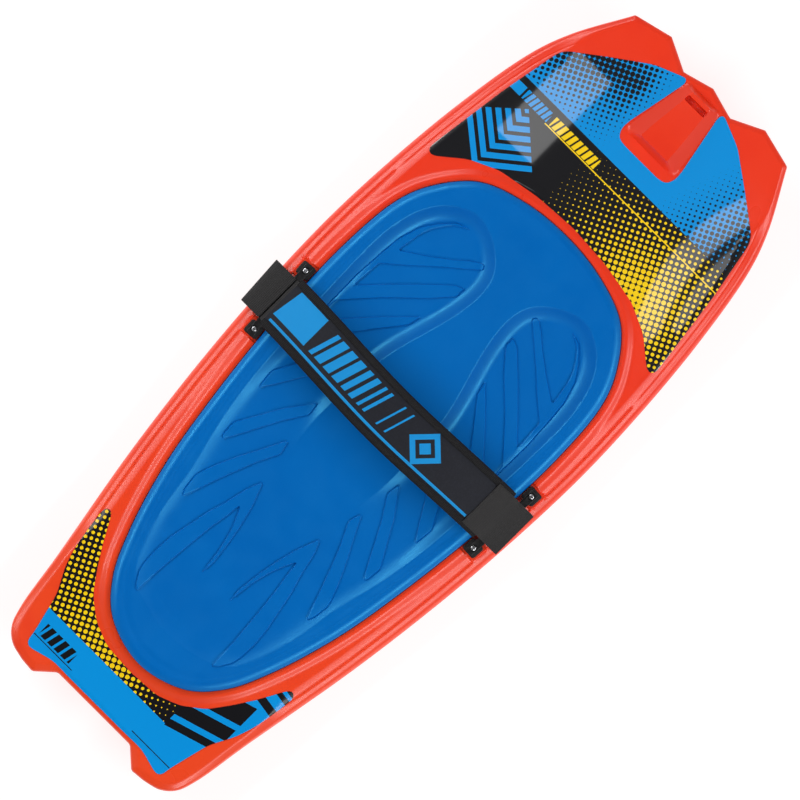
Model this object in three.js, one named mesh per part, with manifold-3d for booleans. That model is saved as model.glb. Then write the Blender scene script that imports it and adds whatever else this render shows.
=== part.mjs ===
// Kneeboard: a foam-filled twin-shell board with a moulded foam knee pad, printed film
// decals and a padded hook-and-loop strap that swings about two screwed-on bracket bars.
// Millimetres, +X towards the nose, +Y to the rider's left, +Z up.
// The origin lies in the hull's flat running surface, on the board's centre line.
import * as THREE from "three";
import { mergeVertices } from "three/addons/utils/BufferGeometryUtils.js";
import Module from "manifold-3d";

const wasm = await Module();
wasm.setup();

// ---------------------------------------------------------------- driving dimensions
const GAP = 0.3; // between pieces that touch
const WALL = 4; // shell thickness
const NOSE_X = 635; // nose lobe tips
const TAIL_X = -635; // tail corner tips
const FLAT_FRONT_X = 150; // the running surface is flat between these two stations
const FLAT_REAR_X = -250;
const NOSE_LIFT = 72;
const TAIL_LIFT = 42;
const HULL_DEPTH = 24; // running surface to the rail seam, amidships
const NOSE_HULL_DEPTH = 14;
const TAIL_HULL_DEPTH = 15;
const DECK_RISE = 20; // rail seam to the deck, amidships
const NOSE_DECK_RISE = 9;
const TAIL_DECK_RISE = 10;
const COLLAR_RISE = 5; // the raised band around the pad
const COLLAR_WIDTH = 13;
const DECK_RAIL = 24; // width of the deck's rounded rail
const HULL_RAIL = 45; // width of the hull's rounded chine
const FLOOR_RISE = 34; // running surface to the floor of the pad's recess

const PAD_EDGE_RISE = 51; // running surface to the pad's rounded edge
const PAD_RIDGE = 8; // the ridge inside that edge
const PAD_CROWN_DROP = 3; // from the ridge to the middle of the pad
const KNEE_X = 188; // centre of each knee well's round front end
const KNEE_Y = 103;
const KNEE_RADIUS = 78;
const KNEE_DEPTH = 16;
const SHIN_DEPTH = 5;

const BAR_X = -16.7; // middle of each strap bracket
const BAR_Y = 222.4;
const BAR_Z = 52.5;
const BAR_SKEW = 3.5; // degrees: the brackets follow the board's outline
const BAR_WIDTH = 12;
const BAR_THICK = 5;
const SEAT_Z = 46; // flat seat that a bracket is screwed down on
const SCREW_PITCH = 109.5;

const STRAP_X = -17.5; // centre line of the strap
const STRAP_BOW = -7; // the strap's middle hangs a little towards the tail
const WEB_WIDTH = 76;
const SLEEVE_WIDTH = 80;
const BINDING = 3;
const WEB = 1.8; // webbing thickness
const APEX_Z = 130;
const ARCH_RADIUS = 411;

const SEGMENTS = 18; // around screws and inserts

// ---------------------------------------------------------------- materials
const material = (color, roughness, metalness = 0) =>
  new THREE.MeshStandardMaterial({ color, roughness, metalness });
const orangePlastic = material(0xf2401c, 0.35);
const foam = material(0xe8e2cc, 0.9);
const padFoam = material(0x0a5fb4, 0.55);
const film = material(0x1493dc, 0.2);
const blackPlastic = material(0x151517, 0.45);
const steel = material(0xc8c8c8, 0.25, 1);
const brass = material(0xb8913a, 0.35, 1);
const blackFabric = material(0x1d1d22, 0.85);

// ---------------------------------------------------------------- solids
const smooth = (from, to, x) => THREE.MathUtils.smoothstep((x - from) / (to - from), 0, 1);
const mix = THREE.MathUtils.lerp;

function solidOf(geometry) {
  const bare = geometry.clone();
  bare.deleteAttribute("normal");
  bare.deleteAttribute("uv");
  const merged = mergeVertices(bare, 1e-3);
  const position = merged.attributes.position;
  const index = Array.from(merged.index.array);
  const triVerts = [];
  const [p, q, r] = [point(), point(), point()];
  let volume = 0;
  for (let i = 0; i < index.length; i += 3) {
    const [a, b, c] = index.slice(i, i + 3);
    if (a === b || b === c || c === a) continue;
    triVerts.push(a, b, c);
    p.fromBufferAttribute(position, a);
    q.fromBufferAttribute(position, b);
    r.fromBufferAttribute(position, c);
    volume += p.dot(q.cross(r));
  }
  if (volume < 0) triVerts.reverse();
  const mesh = { numProp: 3, vertProperties: position.array, triVerts: new Uint32Array(triVerts) };
  return new wasm.Manifold(new wasm.Mesh(mesh));
}

function geometryOf(solid) {
  const { vertProperties, triVerts, numProp, numVert } = solid.getMesh();
  const position = new Float32Array(numVert * 3);
  for (let i = 0; i < numVert; i++) {
    position.set(vertProperties.subarray(i * numProp, i * numProp + 3), i * 3);
  }
  return new THREE.BufferGeometry()
    .setAttribute("position", new THREE.BufferAttribute(position, 3))
    .setIndex(new THREE.BufferAttribute(triVerts, 1));
}

// A skin through rings of equally many points. The first and last rings are either flat
// faces, closed with a fan, or collapsed onto a line that needs no closing.
function skin(rings, { capped = false } = {}) {
  const count = rings[0].length;
  const position = rings.flat().flatMap((p) => [p.x, p.y, p.z]);
  const index = [];
  const quad = (a, b, c, d) => index.push(a, b, c, a, c, d);
  for (let j = 0; j + 1 < rings.length; j++) {
    for (let i = 0; i < count; i++) {
      const next = (i + 1) % count;
      quad(j * count + i, j * count + next, (j + 1) * count + next, (j + 1) * count + i);
    }
  }
  if (capped) {
    const last = (rings.length - 1) * count;
    for (let i = 1; i + 1 < count; i++) {
      index.push(0, i + 1, i);
      index.push(last, last + i, last + i + 1);
    }
  }
  const geometry = new THREE.BufferGeometry()
    .setAttribute("position", new THREE.BufferAttribute(new Float32Array(position), 3))
    .setIndex(index);
  geometry.computeVertexNormals();
  return geometry;
}

function cylinder(radius, low, high, x, y) {
  const geometry = new THREE.CylinderGeometry(radius, radius, high - low, SEGMENTS);
  return geometry.rotateX(Math.PI / 2).translate(x, y, (low + high) / 2);
}

function box(low, high) {
  const size = high.map((v, k) => v - low[k]);
  const middle = high.map((v, k) => (v + low[k]) / 2);
  return new THREE.BoxGeometry(...size).translate(...middle);
}

// ---------------------------------------------------------------- plan outlines
function point(x = 0, y = 0, z = 0) {
  return new THREE.Vector3(x, y, z);
}

const mirrored = (half) => [
  ...half,
  ...half.slice(1, -1).reverse().map((p) => point(p.x, -p.y)),
];

// Nose peak, notch, lobe tip and shoulder are corners; the side is one long curve; the
// tail is a rounded corner, a tip, a notch and a straight transom.
const noseCorners = [point(625, 0), point(612.5, 46), point(NOSE_X, 93), point(621, 151)];
const sideCurve = new THREE.CatmullRomCurve3(
  [
    point(621, 151), point(540, 196.5), point(480, 218.5), point(350, 241), point(200, 254),
    point(80, 256.5), point(-100, 247), point(-300, 224), point(-500, 189), point(-580, 175.7),
    point(-610, 165), point(-626, 147), point(-633, 122),
  ],
  false,
  "centripetal",
);
const tailCorners = [point(TAIL_X, 99), point(-611, 72), point(-611, 0)];
const SIDE_STEPS = 36;
const halfOutline = [
  ...noseCorners.slice(0, 1),
  point(618.7, 23),
  ...noseCorners.slice(1, 3),
  point(628, 122),
  ...sideCurve.getSpacedPoints(SIDE_STEPS).slice(0, SIDE_STEPS - 4),
  ...sideCurve.getPoints(48).slice(-14).filter((p, i) => i % 3 === 1),
  ...tailCorners.slice(0, 2),
  point(-611, 36),
  ...tailCorners.slice(2),
];
const boardOutline = mirrored(halfOutline);

const padCurve = new THREE.CatmullRomCurve3(
  mirrored([
    point(334, 0), point(326, 75), point(301, 141), point(250, 185), point(200, 205.5),
    point(100, 214.3), point(-50, 208), point(-200, 190.6), point(-300, 172.5),
    point(-400, 142), point(-460, 113), point(-501, 72), point(-521, 0),
  ]),
  true,
  "centripetal",
);
const padOutline = padCurve.getPoints(240).slice(0, -1);

function distanceTo(loop, x, y) {
  let best = Infinity;
  for (let i = 0; i < loop.length; i++) {
    const a = loop[i];
    const b = loop[(i + 1) % loop.length];
    const [ux, uy] = [b.x - a.x, b.y - a.y];
    const along = ((x - a.x) * ux + (y - a.y) * uy) / (ux * ux + uy * uy);
    const t = THREE.MathUtils.clamp(along, 0, 1);
    best = Math.min(best, Math.hypot(x - a.x - t * ux, y - a.y - t * uy));
  }
  return best;
}

// ---------------------------------------------------------------- heights
const bottomZ = (x) => {
  const nose = Math.max(0, (x - FLAT_FRONT_X) / (NOSE_X - FLAT_FRONT_X));
  const tail = Math.max(0, (x - FLAT_REAR_X) / (TAIL_X - FLAT_REAR_X));
  return NOSE_LIFT * nose ** 2 + TAIL_LIFT * tail ** 2;
};
const taper = (x, middle, nose, tail) =>
  middle - (middle - nose) * smooth(330, NOSE_X, x) - (middle - tail) * smooth(-430, TAIL_X, x);
const seamZ = (x) => bottomZ(x) + taper(x, HULL_DEPTH, NOSE_HULL_DEPTH, TAIL_HULL_DEPTH);
const deckRise = (x) => taper(x, DECK_RISE, NOSE_DECK_RISE, TAIL_DECK_RISE);
const floorZ = (x) => bottomZ(x) + FLOOR_RISE;

function deckZ(x, y) {
  const rail = Math.min(1, distanceTo(boardOutline, x, y) / DECK_RAIL);
  const collar = 1 - smooth(COLLAR_WIDTH * 0.5, COLLAR_WIDTH * 1.6, distanceTo(padOutline, x, y));
  const rise = deckRise(x) * Math.sin((rail * Math.PI) / 2) ** 0.7;
  return seamZ(x) + rise + COLLAR_RISE * collar * rail;
}

function hullZ(x, y) {
  const inset = Math.min(1, distanceTo(boardOutline, x, y) / HULL_RAIL);
  return seamZ(x) - (seamZ(x) - bottomZ(x)) * Math.sqrt(1 - (1 - inset) ** 2);
}

// How far a point lies inside the nearer knee well's rim; negative outside it.
function insideWell(x, y) {
  if (x > KNEE_X) return KNEE_RADIUS - Math.hypot(x - KNEE_X, Math.abs(y) - KNEE_Y);
  const half = mix(66, 25, smooth(-30, KNEE_X, x)) * (1 - smooth(-60, -360, x));
  const rim = distanceTo(padOutline, x, y) - 28;
  return Math.min(Math.abs(y) - half, rim);
}

function padTopZ(x, y) {
  const edge = distanceTo(padOutline, x, y);
  const ridge = PAD_RIDGE * Math.sin((Math.min(1, edge / 17) * Math.PI) / 2);
  const crown = PAD_CROWN_DROP * smooth(17, 60, edge);
  const depth = mix(SHIN_DEPTH, KNEE_DEPTH, smooth(-260, 120, x));
  return bottomZ(x) + PAD_EDGE_RISE + ridge - crown - depth * smooth(0, 22, insideWell(x, y));
}

// ---------------------------------------------------------------- rays
// Each ray runs from the board's spine, across the pad's edge, to the rail. Both ends of
// the spine fan out, so the rays meet the rail nearly square all the way round.
const SPINE_FRONT_X = 150;
const SPINE_REAR_X = -360;

function crossPad(from, to) {
  let [inside, outside] = [0, 1];
  const within = (t) => {
    const p = from.clone().lerp(to, t);
    let crossings = false;
    for (let i = 0; i < padOutline.length; i++) {
      const a = padOutline[i];
      const b = padOutline[(i + 1) % padOutline.length];
      const between = a.y > p.y !== b.y > p.y;
      if (between && p.x < a.x + ((p.y - a.y) / (b.y - a.y)) * (b.x - a.x)) crossings = !crossings;
    }
    return crossings;
  };
  for (let k = 0; k < 24; k++) {
    const t = (inside + outside) / 2;
    if (within(t)) inside = t;
    else outside = t;
  }
  return from.clone().lerp(to, inside);
}

const rays = boardOutline.map((rail) => {
  const spine = point(THREE.MathUtils.clamp(rail.x, SPINE_REAR_X, SPINE_FRONT_X), 0);
  const lip = crossPad(spine, rail.y === 0 ? rail.clone().setY(1e-6) : rail);
  const out = rail.clone().sub(lip).normalize();
  return { spine, lip, rail, out };
});

// One ring with a point on each ray: `place` gives the plan position, `height` its z.
const ring = (place, height) =>
  rays.map((ray) => {
    const p = place(ray);
    return point(p.x, p.y, typeof height === "function" ? height(p.x, p.y) : height);
  });
const onSpine = (ray) => ray.spine;
const acrossPad = (share) => (ray) => ray.spine.clone().lerp(ray.lip, share);
const fromLip = (distance) => (ray) => ray.lip.clone().addScaledVector(ray.out, distance);
const fromRail = (distance) => (ray) => ray.rail.clone().addScaledVector(ray.out, -distance);
const acrossDeck = (share) => (ray) =>
  fromLip(COLLAR_WIDTH + 5)(ray).lerp(fromRail(DECK_RAIL - 3)(ray), share);
const acrossHull = (share) => (ray) => ray.spine.clone().lerp(fromRail(70)(ray), share);

// ---------------------------------------------------------------- board shells and core
const seamLevel = (offset) => (x) => seamZ(x) + offset;
const below = (height, offset) => (x, y) => height(x, y) - offset;

// Each shell is cut from a block that ends, out of sight, inside the cavity.
const insideCavity = () => [
  ring(fromRail(70), (x) => bottomZ(x) + WALL + 3),
  ring(onSpine, (x) => bottomZ(x) + WALL + 3),
];

// The deck's and the hull's outer skins, from the pad's edge to the rail and back again.
const deckRings = [
  ring(fromLip(0), deckZ),
  ring(fromLip(COLLAR_WIDTH * 0.6), deckZ),
  ring(fromLip(COLLAR_WIDTH * 1.3), deckZ),
  ...[0.3, 0.7].map((share) => ring(acrossDeck(share), deckZ)),
  ...[18, 11, 5, 1.5].map((inset) => ring(fromRail(inset), deckZ)),
  ring(fromRail(0), seamLevel(GAP / 2)),
  ring(fromRail(WALL + 12), seamLevel(GAP / 2)),
  ...insideCavity(),
];
const hullRings = [
  ...insideCavity().reverse(),
  ring(fromRail(WALL + 12), seamLevel(-GAP / 2)),
  ring(fromRail(0), seamLevel(-GAP / 2)),
  ...[2, 8, 16, 28, 45, 70].map((inset) => ring(fromRail(inset), hullZ)),
  ...[0.66, 0.33].map((share) => ring(acrossHull(share), bottomZ)),
  ring(onSpine, bottomZ),
];

// The cavity inside both shells, from under the pad's recess out to the rail and back.
const cavity = solidOf(
  skin([
    ring(onSpine, (x) => floorZ(x) - WALL),
    ring(fromLip(WALL + 3), (x) => floorZ(x) - WALL),
    ring(fromLip(WALL + 4), (x) => seamZ(x) + deckRise(x) - WALL - 1),
    ...[0.3, 0.7].map((share) => ring(acrossDeck(share), below(deckZ, WALL + 1))),
    ring(fromRail(WALL + 16), below(deckZ, WALL + 1)),
    ring(fromRail(WALL + 4), seamLevel(2)),
    ring(fromRail(WALL + 4), seamLevel(-2)),
    ring(fromRail(WALL + 18), below(hullZ, -WALL)),
    ring(fromRail(HULL_RAIL + 8), (x) => bottomZ(x) + WALL),
    ...[0.66, 0.33].map((share) => ring(acrossHull(share), (x) => bottomZ(x) + WALL)),
    ring(onSpine, (x) => bottomZ(x) + WALL),
  ]),
);

const SCREWS = [-1, 1].flatMap((side) =>
  [-1, 1].map((end) => {
    const skew = THREE.MathUtils.degToRad(BAR_SKEW);
    const reach = (end * SCREW_PITCH) / 2;
    return {
      name: `${side > 0 ? "left" : "right"}_${end > 0 ? "front" : "rear"}`,
      x: BAR_X + reach * Math.cos(skew),
      y: side * (BAR_Y + reach * Math.sin(skew)),
    };
  }),
);
const INSERT = { radius: 4, bore: 2.7, length: 12 };
const BOSS = { radius: 8, length: 15 };
const insertHole = (screw) =>
  solidOf(cylinder(INSERT.radius + GAP, SEAT_Z - INSERT.length - GAP, SEAT_Z + 1, screw.x, screw.y));

const BAR_ANGLE = THREE.MathUtils.degToRad(BAR_SKEW);
const placeBracket = (geometry, side) => {
  geometry.rotateZ(side * BAR_ANGLE);
  return geometry.translate(BAR_X, side * BAR_Y, 0);
};
const bracketSeat = (side) =>
  solidOf(placeBracket(box([-70, side > 0 ? -20 : -12.5, SEAT_Z], [70, side > 0 ? 12.5 : 20, 90]), side));

// The tow hook is a wedge whose steep rear face catches the handle of the tow line.
const HOOK = { rearX: 501, frontX: 600, rearHalf: 48, frontHalf: 33, rearTop: 20, frontTop: 13 };
function towHook() {
  const station = (x, half, topHalf, rise) => {
    const deck = seamZ(x) + deckRise(x);
    return [
      point(x, -half, deck - 2), point(x, half, deck - 2),
      point(x, half, deck), point(x, topHalf, deck + rise),
      point(x, -topHalf, deck + rise), point(x, -half, deck),
    ];
  };
  return skin(
    [
      station(HOOK.rearX, HOOK.rearHalf, 27, HOOK.rearTop),
      station(540, 43, 23.5, 17),
      station(580, 36.5, 19, 14.5),
      station(HOOK.frontX, HOOK.frontHalf, 17, HOOK.frontTop),
    ],
    { capped: true },
  );
}
const hookSlot = () => box([585, -18, seamZ(590) + deckRise(590) + 1], [594, 18, 140]);

function deckShell() {
  const recess = [ring(onSpine, floorZ), ring(fromLip(-0.01), floorZ)];
  let solid = solidOf(skin([...recess, ...deckRings])).subtract(cavity);
  for (const screw of SCREWS) {
    solid = solid.add(solidOf(cylinder(BOSS.radius, SEAT_Z - BOSS.length, SEAT_Z - 1, screw.x, screw.y)));
  }
  for (const side of [-1, 1]) solid = solid.subtract(bracketSeat(side));
  for (const screw of SCREWS) solid = solid.subtract(insertHole(screw));
  return solid.add(solidOf(towHook())).subtract(solidOf(hookSlot()));
}

const hullShell = () => solidOf(skin(hullRings)).subtract(cavity);

// The core is the cavity's own shape, drawn in by the gap in each direction.
function foamCore() {
  const drawIn = (solid, shift) => solid.intersect(cavity.translate(shift));
  const core = [[GAP, 0, 0], [-GAP, 0, 0], [0, GAP, 0], [0, -GAP, 0], [0, 0, GAP], [0, 0, -GAP]]
    .reduce(drawIn, cavity);
  return SCREWS.reduce(
    (solid, screw) =>
      solid.subtract(solidOf(cylinder(BOSS.radius + GAP, SEAT_Z - BOSS.length - GAP, 90, screw.x, screw.y))),
    core,
  );
}

function kneePad() {
  const shares = [0.14, 0.3, 0.42, 0.54, 0.66, 0.78, 0.86, 0.92, 0.97];
  return solidOf(
    skin([
      ring(onSpine, padTopZ),
      ...shares.map((share) => ring(acrossPad(share), padTopZ)),
      ring(fromLip(-1), (x) => bottomZ(x) + PAD_EDGE_RISE),
      ring(fromLip(-0.7), (x) => floorZ(x) + GAP),
      ring(onSpine, (x) => floorZ(x) + GAP),
    ]),
  );
}

// ---------------------------------------------------------------- decals
const FILM = 0.4;
const noseDecalHalf = [
  [348, 0], [343.5, 68], [332, 132], [312, 175], [281, 213], [280, 221], [287, 226],
  [416, 208], [506, 191], [517, 184], [552, 137], [590, 83], [605, 46], [608, 38], [603, 33],
  [508, 52], [494, 52], [484, 46], [481, 36], [481, 0],
];
const tailDecalHalf = [
  [-537.5, 0], [-534.5, 50], [-521, 84], [-498, 114], [-468, 136], [-438, 155], [-400, 176],
  [-395, 183], [-402, 190], [-438, 185], [-468, 179.5], [-497, 170], [-533, 151], [-593, 136],
  [-608, 134], [-613.5, 127], [-603, 88], [-604, 60], [-604, 0],
];

// A film of even thickness that lies on the deck's own facets, cut to the decal's outline.
function decal(half, deck) {
  const outline = mirrored(half.map(([x, y]) => point(x, y)));
  const shape = new THREE.Shape(outline.map((p) => new THREE.Vector2(p.x, p.y)));
  const prism = solidOf(new THREE.ExtrudeGeometry(shape, { depth: 200, bevelEnabled: false }));
  const raised = (rise) => deck.translate([0, 0, rise]);
  const layer = raised(GAP + FILM).subtract(raised(GAP)).intersect(prism);
  return largestOf(layer);
}

function largestOf(solid) {
  return solid.decompose().reduce((a, b) => (b.volume() > a.volume() ? b : a));
}

// The deck's outer surface as a plain block, without the recess, hook or cavity.
const deckBlock = () => solidOf(skin([ring(onSpine, deckZ), ...deckRings]));

// ---------------------------------------------------------------- strap brackets
const TAB = { low: 44.5, high: 66, half: 11, top: SEAT_Z + 8 };
const SCREW = { head: 4.4, rise: 3, shank: 2.35, length: 18, sink: 2.6 };

function strapBracket(side) {
  const low = SEAT_Z + GAP;
  const bar = box([-TAB.high + 2, -BAR_WIDTH / 2, BAR_Z - BAR_THICK / 2],
    [TAB.high - 2, BAR_WIDTH / 2, BAR_Z + BAR_THICK / 2]);
  let solid = solidOf(placeBracket(bar, side));
  for (const end of [-1, 1]) {
    const shape = new THREE.Shape();
    const [a, b] = end > 0 ? [TAB.low, TAB.high] : [-TAB.high, -TAB.low];
    const corner = 4;
    shape.moveTo(a + corner, -TAB.half);
    shape.lineTo(b - corner, -TAB.half);
    shape.quadraticCurveTo(b, -TAB.half, b, -TAB.half + corner);
    shape.lineTo(b, TAB.half - corner);
    shape.quadraticCurveTo(b, TAB.half, b - corner, TAB.half);
    shape.lineTo(a + corner, TAB.half);
    shape.quadraticCurveTo(a, TAB.half, a, TAB.half - corner);
    shape.lineTo(a, -TAB.half + corner);
    shape.quadraticCurveTo(a, -TAB.half, a + corner, -TAB.half);
    const tab = new THREE.ExtrudeGeometry(shape, { depth: TAB.top - low, bevelEnabled: false, curveSegments: 4 });
    solid = solid.add(solidOf(placeBracket(tab.translate(0, 0, low), side)));
  }
  for (const screw of SCREWS) {
    const bore = cylinder(SCREW.shank + GAP, low - 1, TAB.top + 1, screw.x, screw.y);
    const sink = cylinder(SCREW.head + 0.6, TAB.top - SCREW.sink, TAB.top + 1, screw.x, screw.y);
    solid = solid.subtract(solidOf(bore)).subtract(solidOf(sink));
  }
  return solid;
}

function screwSolid({ x, y }) {
  const under = TAB.top - SCREW.sink + GAP;
  const head = cylinder(SCREW.head, under, under + SCREW.rise, x, y);
  const shank = cylinder(SCREW.shank, under - SCREW.length, under + 0.5, x, y);
  const drive = [0, Math.PI / 2].map((turn) =>
    box([-2.6, -0.6, -1.6], [2.6, 0.6, 1]).rotateZ(turn).translate(x, y, under + SCREW.rise),
  );
  const solid = solidOf(head).add(solidOf(shank));
  return drive.reduce((s, slot) => s.subtract(solidOf(slot)), solid);
}

function insertSolid({ x, y }) {
  const body = cylinder(INSERT.radius, SEAT_Z - INSERT.length, SEAT_Z - 0.2, x, y);
  const bore = cylinder(INSERT.bore, SEAT_Z - INSERT.length - 1, SEAT_Z + 1, x, y);
  return solidOf(body).subtract(solidOf(bore));
}

// ---------------------------------------------------------------- strap
// Strap pieces are bands along a line in the YZ plane. Each station is a flat rectangle
// across the band: `edges` are its two x limits and `layers` its offsets from the line.
// A band with a `skew` of 1 or -1 turns, over its first part, to run along a bracket's bar.
function band(line, edges, layers, skew = 0) {
  const stations = line.map((p, k) => {
    const before = line[Math.max(0, k - 1)];
    const after = line[Math.min(line.length - 1, k + 1)];
    const along = after.clone().sub(before).normalize();
    const up = point(0, -along.z, along.y).multiplyScalar(Math.sign(line[0].y - line.at(-1).y) * -1);
    const turn = skew * Math.tan(BAR_ANGLE) * smooth(0, 0.4, k / (line.length - 1));
    const bow = STRAP_BOW * (1 - smooth(0, BAR_Y, Math.abs(p.y)));
    const corner = (x, rise) => {
      const c = p.clone().addScaledVector(up, rise).setX(STRAP_X + bow + x);
      return c.setY(c.y + turn * (c.x - BAR_X));
    };
    return [
      corner(edges[0], layers[0]), corner(edges[1], layers[0]),
      corner(edges[1], layers[1]), corner(edges[0], layers[1]),
    ];
  });
  return solidOf(skin(stations, { capped: true }));
}

const ARCH_CENTRE_Z = APEX_Z - ARCH_RADIUS;
const archPoint = (y) => point(0, y, ARCH_CENTRE_Z + Math.sqrt(ARCH_RADIUS ** 2 - y ** 2));
const arch = (from, to, steps) =>
  Array.from({ length: steps + 1 }, (_, k) => archPoint(mix(from, to, k / steps)));
const curve = (points, steps) =>
  new THREE.CatmullRomCurve3(points.map(([y, z]) => point(0, y, z)), false, "centripetal")
    .getSpacedPoints(steps);
const across = (width) => [-width / 2, width / 2];

// Layers of the padded sleeve, as offsets from the arch line: cover, foam, webbing, lining,
// and below the strap's right end the hook patch, the pile patch and the closure tab.
const LAYER = {
  cover: [3.1, 4.3], foam: [-0.7, 2.8], web: [-2.8, -2.8 + WEB], lining: [-4.3, -3.1],
  hook: [-6, -4.6], pile: [-7.5, -6.3], tab: [-9.6, -9.6 + WEB],
};
const SLEEVE = { left: 217, right: -205, steps: 22 };
const sleeveLine = () => arch(SLEEVE.left, SLEEVE.right, SLEEVE.steps);
const sleeveLayer = (layer) => band(sleeveLine(), across(SLEEVE_WIDTH), layer);

function binding(end) {
  const inner = (end * SLEEVE_WIDTH) / 2 + end * GAP;
  const outer = inner + end * BINDING;
  return band(sleeveLine(), [Math.min(inner, outer), Math.max(inner, outer)], [-4.3, 4.3]);
}

// The strap bends where its padding stops, just above the left bar. From that crease the
// anchor loop runs outboard, folds back under the bar and rises between bar and pad.
const CREASE = { left: [224.6, 61.5], right: [-212.6, 64.2] };
const anchorLoopLine = () =>
  curve(
    [
      [226.2, 60.8], [236, 57.2], [248, 54], [258, 51.2], [263.4, 47.3], [259, 43.6],
      [248, 42.9], [239, 45.2], [231, 48], [218, 48], [213.6, 50.2], [213.2, 55.4], [215.6, 58.8], [220.6, 59.6],
    ],
    34,
  );
const closureLoopLine = () =>
  curve(
    [
      [-214, 62.8], [-218, 59.6], [-223, 57.6], [-229, 56.6], [-233.6, 53.8], [-233.6, 50.4],
      [-229.5, 48.3], [-223, 48], [-217, 48.1], [-213.4, 50.2], [-212.9, 55.5], [-212, 60.2],
    ],
    26,
  );
const closureTabLine = () => [
  ...arch(-112, -188, 6).map((p) => offsetFromArch(p, LAYER.tab[0] + WEB / 2)),
  ...curve([[-190.5, 73], [-200, 69], [-206, 66.7], [-211.3, 64.7]], 3),
];
const pullTabLine = () => [
  ...arch(-178, -206, 4).map((p) => offsetFromArch(p, 5.6)),
  ...curve([[-218, 73], [-230, 67.5], [-240, 63.6], [-247.4, 61.2]], 5),
];

function offsetFromArch(p, rise) {
  const up = point(0, p.y, p.z - ARCH_CENTRE_Z).normalize();
  return p.clone().addScaledVector(up, rise);
}

// ---------------------------------------------------------------- assembly
const board = new THREE.Group();

function addPiece(name, solid, finish, parent = board) {
  const mesh = new THREE.Mesh(geometryOf(solid), finish);
  mesh.name = name;
  parent.add(mesh);
}

addPiece("deck_shell", deckShell(), orangePlastic);
addPiece("hull_shell", hullShell(), orangePlastic);
addPiece("foam_core", foamCore(), foam);
addPiece("knee_pad", kneePad(), padFoam);
const deckSurface = deckBlock();
addPiece("nose_decal", decal(noseDecalHalf, deckSurface), film);
addPiece("tail_decal", decal(tailDecalHalf, deckSurface), film);
addPiece("left_strap_bracket", strapBracket(1), blackPlastic);
addPiece("right_strap_bracket", strapBracket(-1), blackPlastic);
for (const screw of SCREWS) {
  addPiece(`screw_${screw.name}`, screwSolid(screw), steel);
  addPiece(`insert_${screw.name}`, insertSolid(screw), brass);
}

addPiece("anchor_loop", band(anchorLoopLine(), across(WEB_WIDTH), [-WEB / 2, WEB / 2], 1), blackFabric);
addPiece("closure_loop", band(closureLoopLine(), across(WEB_WIDTH), [-WEB / 2, WEB / 2], -1), blackFabric);

// The strap swings up and over the left rail, about the crease above the left bar.
const strap = new THREE.Group();
board.add(strap);
const bareWebbing = arch(CREASE.left[0], SLEEVE.right + 3, SLEEVE.steps);
addPiece("sleeve_cover", sleeveLayer(LAYER.cover), blackFabric, strap);
addPiece("sleeve_foam", sleeveLayer(LAYER.foam), foam, strap);
addPiece("strap_webbing", band(bareWebbing, across(WEB_WIDTH), LAYER.web), blackFabric, strap);
addPiece("sleeve_lining", sleeveLayer(LAYER.lining), blackFabric, strap);
addPiece("sleeve_binding_front", binding(1), blackFabric, strap);
addPiece("sleeve_binding_rear", binding(-1), blackFabric, strap);
addPiece("hook_patch", band(arch(-118, -200, 6), across(WEB_WIDTH - 6), LAYER.hook), blackFabric, strap);
addPiece("pull_tab", band(pullTabLine(), across(WEB_WIDTH), [-1, 1]), blackFabric, strap);

// The closure tab swings outboard, about the crease above the right bar.
const closure = new THREE.Group();
board.add(closure);
addPiece("pile_patch", band(arch(-116, -186, 6), across(WEB_WIDTH - 6), LAYER.pile), blackFabric, closure);
addPiece("closure_tab", band(closureTabLine(), across(WEB_WIDTH), [-WEB / 2, WEB / 2]), blackFabric, closure);

export default board;
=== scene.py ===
"""Kneeboard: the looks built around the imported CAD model.

Shapes are worked out in millimetres, in the CAD's own frame: +X to the nose, +Y to the
rider's left, +Z up, from the hull's flat running surface. Meshes are made in metres.
"""

import math

import bmesh
import bpy
import numpy as np
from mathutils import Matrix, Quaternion, Vector
from mathutils.geometry import delaunay_2d_cdt


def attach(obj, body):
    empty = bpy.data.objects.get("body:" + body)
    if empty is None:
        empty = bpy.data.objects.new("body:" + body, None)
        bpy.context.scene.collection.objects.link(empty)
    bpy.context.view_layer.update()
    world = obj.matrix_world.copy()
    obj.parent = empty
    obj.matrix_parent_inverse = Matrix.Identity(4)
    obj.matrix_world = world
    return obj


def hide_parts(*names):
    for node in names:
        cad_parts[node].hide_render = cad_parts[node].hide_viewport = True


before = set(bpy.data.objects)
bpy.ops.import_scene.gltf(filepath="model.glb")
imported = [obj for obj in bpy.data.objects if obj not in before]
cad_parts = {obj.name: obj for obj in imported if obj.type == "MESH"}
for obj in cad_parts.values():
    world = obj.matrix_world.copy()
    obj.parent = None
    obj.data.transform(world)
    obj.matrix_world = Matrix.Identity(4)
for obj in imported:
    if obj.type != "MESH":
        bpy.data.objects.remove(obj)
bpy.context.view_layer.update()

MM = 0.001
POINTS_AT_ONCE = 3000  # measured in one go, to keep the arrays small

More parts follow.
